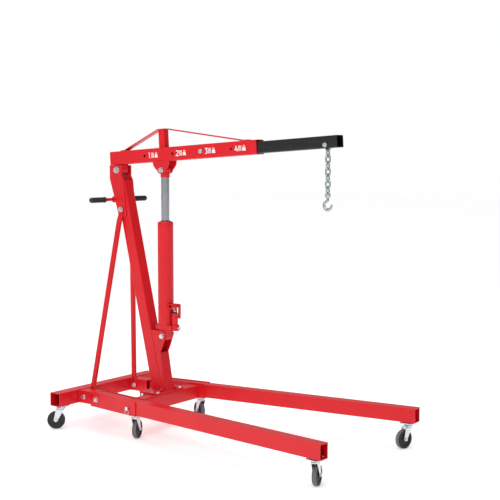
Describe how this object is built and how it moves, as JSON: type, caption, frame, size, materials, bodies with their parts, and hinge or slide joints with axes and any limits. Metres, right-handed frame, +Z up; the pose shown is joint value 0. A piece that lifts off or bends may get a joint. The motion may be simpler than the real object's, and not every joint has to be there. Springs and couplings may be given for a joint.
{
  "type": "engine hoist crane",
  "caption": "Folding wheeled shop crane: splayed legs, leaning mast, boom raised by a hydraulic jack, sliding extension with chain and hook.",
  "frame": {"origin": "floor level at the middle of the crane's length and width, on its plane of symmetry", "axes": "+X forward along the boom and legs, +Y to the crane's left, +Z up"},
  "size_m": [1.8693, 0.9492, 1.662],
  "materials": {
    "red_enamel": "gloss enamel",
    "black_enamel": "satin enamel",
    "zinc_plate": "bright zinc plate",
    "zinc_chain": "zinc plated forged steel",
    "ground_steel": "ground and polished",
    "rubber_grip": "matt moulded rubber",
    "black_rubber": "matt moulded rubber"
  },
  "bodies": {
    "root": {"rear_cross_tube": "red_enamel", "rear_brackets": "red_enamel", "leg_channel_right": "red_enamel", "leg_channel_left": "red_enamel", "front_cross_tube": "red_enamel", "mast": "red_enamel", "mast_foot_plate": "red_enamel", "foot_bolts": "zinc_plate", "mast_head_plates": "red_enamel", "jack_bracket": "red_enamel", "handle_bar": "red_enamel", "handle_grips": "rubber_grip", "brace_right": "red_enamel", "brace_left": "red_enamel", "brace_bolts": "zinc_plate", "leg_pivot_bolts": "zinc_plate", "boom_pivot_bolt": "zinc_plate", "caster_plates": "zinc_plate"},
    "leg_right": {"leg_right": "red_enamel", "leg_caster_plate_right": "zinc_plate"},
    "leg_left": {"leg_left": "red_enamel", "leg_caster_plate_left": "zinc_plate"},
    "leg_pin_right": {"leg_pin_right": "zinc_plate"},
    "leg_pin_left": {"leg_pin_left": "zinc_plate"},
    "boom_bush": {"boom_bush": "ground_steel"},
    "boom": {"boom_tube": "red_enamel", "boom_lug": "red_enamel", "boom_ears": "red_enamel", "ear_bolts": "zinc_plate", "king_post": "red_enamel", "tie_strap": "red_enamel"},
    "extension": {"extension_tube": "black_enamel", "chain_bolt": "zinc_plate"},
    "boom_pin": {"boom_pin": "zinc_plate"},
    "chain_upper": {"chain_upper": "zinc_chain"},
    "chain_lower": {"chain_lower": "zinc_chain"},
    "load_hook": {"load_hook": "zinc_chain"},
    "jack_pin": {"jack_pin": "zinc_plate"},
    "jack": {"jack_base": "red_enamel", "jack_cylinder": "red_enamel", "cylinder_cap": "red_enamel", "pump_body": "red_enamel"},
    "piston": {"piston": "ground_steel"},
    "ram": {"ram_rod": "ground_steel", "ram_eye": "ground_steel"},
    "pump_plunger": {"pump_plunger": "ground_steel"},
    "pump_lever": {"pump_lever": "red_enamel"},
    "release_valve": {"release_valve": "zinc_plate"},
    "fork_rear_right": {"fork_rear_right": "zinc_plate"},
    "wheel_rear_right": {"wheel_rear_right": "black_rubber"},
    "fork_rear_left": {"fork_rear_left": "zinc_plate"},
    "wheel_rear_left": {"wheel_rear_left": "black_rubber"},
    "fork_mid_right": {"fork_mid_right": "zinc_plate"},
    "wheel_mid_right": {"wheel_mid_right": "black_rubber"},
    "fork_mid_left": {"fork_mid_left": "zinc_plate"},
    "wheel_mid_left": {"wheel_mid_left": "black_rubber"},
    "fork_front_right": {"fork_front_right": "zinc_plate"},
    "wheel_front_right": {"wheel_front_right": "black_rubber"},
    "fork_front_left": {"fork_front_left": "zinc_plate"},
    "wheel_front_left": {"wheel_front_left": "black_rubber"}
  },
  "joints": [
    {"name": "boom_lower", "type": "hinge", "parent": "root", "child": "boom_bush", "pos_m": [-0.718, 0, 1.434], "axis": [0, -1, 0], "range_deg": [-45, 0]},
    {"name": "boom_raise", "type": "hinge", "parent": "boom_bush", "child": "boom", "pos_m": [-0.718, 0, 1.434], "axis": [0, -1, 0], "range_deg": [0, 45]},
    {"name": "extension_slide", "type": "slide", "parent": "boom", "child": "extension", "axis": [0.9982, 0, 0.0593], "range_m": [-0.36, 0.2]},
    {"name": "boom_pin_pull", "type": "slide", "parent": "boom", "child": "boom_pin", "axis": [0, -1, 0], "range_m": [0, 0.12]},
    {"name": "jack_tilt_low", "type": "hinge", "parent": "root", "child": "jack_pin", "pos_m": [-0.394, 0, 0.523], "axis": [0, -1, 0], "range_deg": [-1, 9]},
    {"name": "jack_tilt_high", "type": "hinge", "parent": "jack_pin", "child": "jack", "pos_m": [-0.394, 0, 0.523], "axis": [0, -1, 0], "range_deg": [-1, 6]},
    {"name": "piston_slide", "type": "slide", "parent": "jack", "child": "piston", "axis": [0, 0, 1], "range_m": [-0.23, 0.01]},
    {"name": "ram_slide", "type": "slide", "parent": "piston", "child": "ram", "axis": [0, 0, 1], "range_m": [-0.01, 0.24]},
    {"name": "pump_lever_swing", "type": "hinge", "parent": "jack", "child": "pump_lever", "pos_m": [-0.33, 0.022, 0.692], "axis": [-1, 0, 0], "range_deg": [0, 30]},
    {"name": "plunger_slide", "type": "slide", "parent": "jack", "child": "pump_plunger", "axis": [0, 0, 1], "range_m": [-0.001, 0.012]},
    {"name": "release_valve_turn", "type": "hinge", "parent": "jack", "child": "release_valve", "pos_m": [-0.33, 0, 0.571], "axis": [1, 0, 0], "range_deg": [0, 180]},
    {"name": "leg_fold_right", "type": "hinge", "parent": "root", "child": "leg_right", "pos_m": [-0.659, -0.24365, 0.1755], "axis": [-0.1253, -0.9921, 0], "range_deg": [0, 90]},
    {"name": "leg_pin_pull_right", "type": "slide", "parent": "root", "child": "leg_pin_right", "axis": [-0.1253, -0.9921, 0], "range_m": [0, 0.12]},
    {"name": "leg_fold_left", "type": "hinge", "parent": "root", "child": "leg_left", "pos_m": [-0.659, 0.24365, 0.1755], "axis": [0.1253, -0.9921, 0], "range_deg": [0, 90]},
    {"name": "leg_pin_pull_left", "type": "slide", "parent": "root", "child": "leg_pin_left", "axis": [-0.1253, 0.9921, 0], "range_m": [0, 0.12]},
    {"name": "chain_swing", "type": "hinge", "parent": "extension", "child": "chain_upper", "pos_m": [0.65959, 0, 1.56613], "axis": [0, -1, 0], "range_deg": [-25, 25]},
    {"name": "chain_bend", "type": "hinge", "parent": "chain_upper", "child": "chain_lower", "pos_m": [0.65959, 0, 1.45633], "axis": [1, 0, 0], "range_deg": [-60, 60]},
    {"name": "hook_swing", "type": "hinge", "parent": "chain_lower", "child": "load_hook", "pos_m": [0.65959, 0, 1.32203], "axis": [0, -1, 0], "range_deg": [-60, 60]},
    {"name": "swivel_rear_right", "type": "hinge", "parent": "root", "child": "fork_rear_right", "pos_m": [-0.862, -0.35, 0.12], "axis": [0, 0, 1], "continuous": true},
    {"name": "swivel_rear_left", "type": "hinge", "parent": "root", "child": "fork_rear_left", "pos_m": [-0.862, 0.35, 0.12], "axis": [0, 0, 1], "continuous": true},
    {"name": "swivel_mid_right", "type": "hinge", "parent": "root", "child": "fork_mid_right", "pos_m": [-0.372, -0.282, 0.12], "axis": [0, 0, 1], "continuous": true},
    {"name": "swivel_mid_left", "type": "hinge", "parent": "root", "child": "fork_mid_left", "pos_m": [-0.372, 0.282, 0.12], "axis": [0, 0, 1], "continuous": true},
    {"name": "swivel_front_right", "type": "hinge", "parent": "leg_right", "child": "fork_front_right", "pos_m": [0.881, -0.43819, 0.12], "axis": [0, 0, 1], "continuous": true},
    {"name": "swivel_front_left", "type": "hinge", "parent": "leg_left", "child": "fork_front_left", "pos_m": [0.881, 0.43819, 0.12], "axis": [0, 0, 1], "continuous": true},
    {"name": "roll_rear_right", "type": "hinge", "parent": "fork_rear_right", "child": "wheel_rear_right", "pos_m": [-0.88596, -0.36805, 0.05], "axis": [0.6018, -0.7986, 0], "continuous": true},
    {"name": "roll_rear_left", "type": "hinge", "parent": "fork_rear_left", "child": "wheel_rear_left", "pos_m": [-0.88798, 0.365, 0.05], "axis": [-0.5, -0.866, 0], "continuous": true},
    {"name": "roll_mid_right", "type": "hinge", "parent": "fork_mid_right", "child": "wheel_mid_right", "pos_m": [-0.38324, -0.25418, 0.05], "axis": [-0.9272, -0.3746, 0], "continuous": true},
    {"name": "roll_mid_left", "type": "hinge", "parent": "fork_mid_left", "child": "wheel_mid_left", "pos_m": [-0.39919, 0.29468, 0.05], "axis": [-0.4226, -0.9063, 0], "continuous": true},
    {"name": "roll_front_right", "type": "hinge", "parent": "fork_front_right", "child": "wheel_front_right", "pos_m": [0.87173, -0.40966, 0.05], "axis": [-0.9511, -0.309, 0], "continuous": true},
    {"name": "roll_front_left", "type": "hinge", "parent": "fork_front_left", "child": "wheel_front_left", "pos_m": [0.87273, 0.40936, 0.05], "axis": [0.9613, -0.2756, 0], "continuous": true}
  ],
  "couplings": [
    {"joint": "jack_tilt_low", "follows": "boom_lower", "ratio": -0.17279},
    {"joint": "jack_tilt_high", "follows": "boom_raise", "ratio": 0.10733},
    {"joint": "piston_slide", "follows": "boom_lower", "m_per_rad": 0.28445},
    {"joint": "ram_slide", "follows": "boom_raise", "m_per_rad": 0.29605},
    {"joint": "plunger_slide", "follows": "pump_lever_swing", "m_per_rad": 0.02}
  ]
}
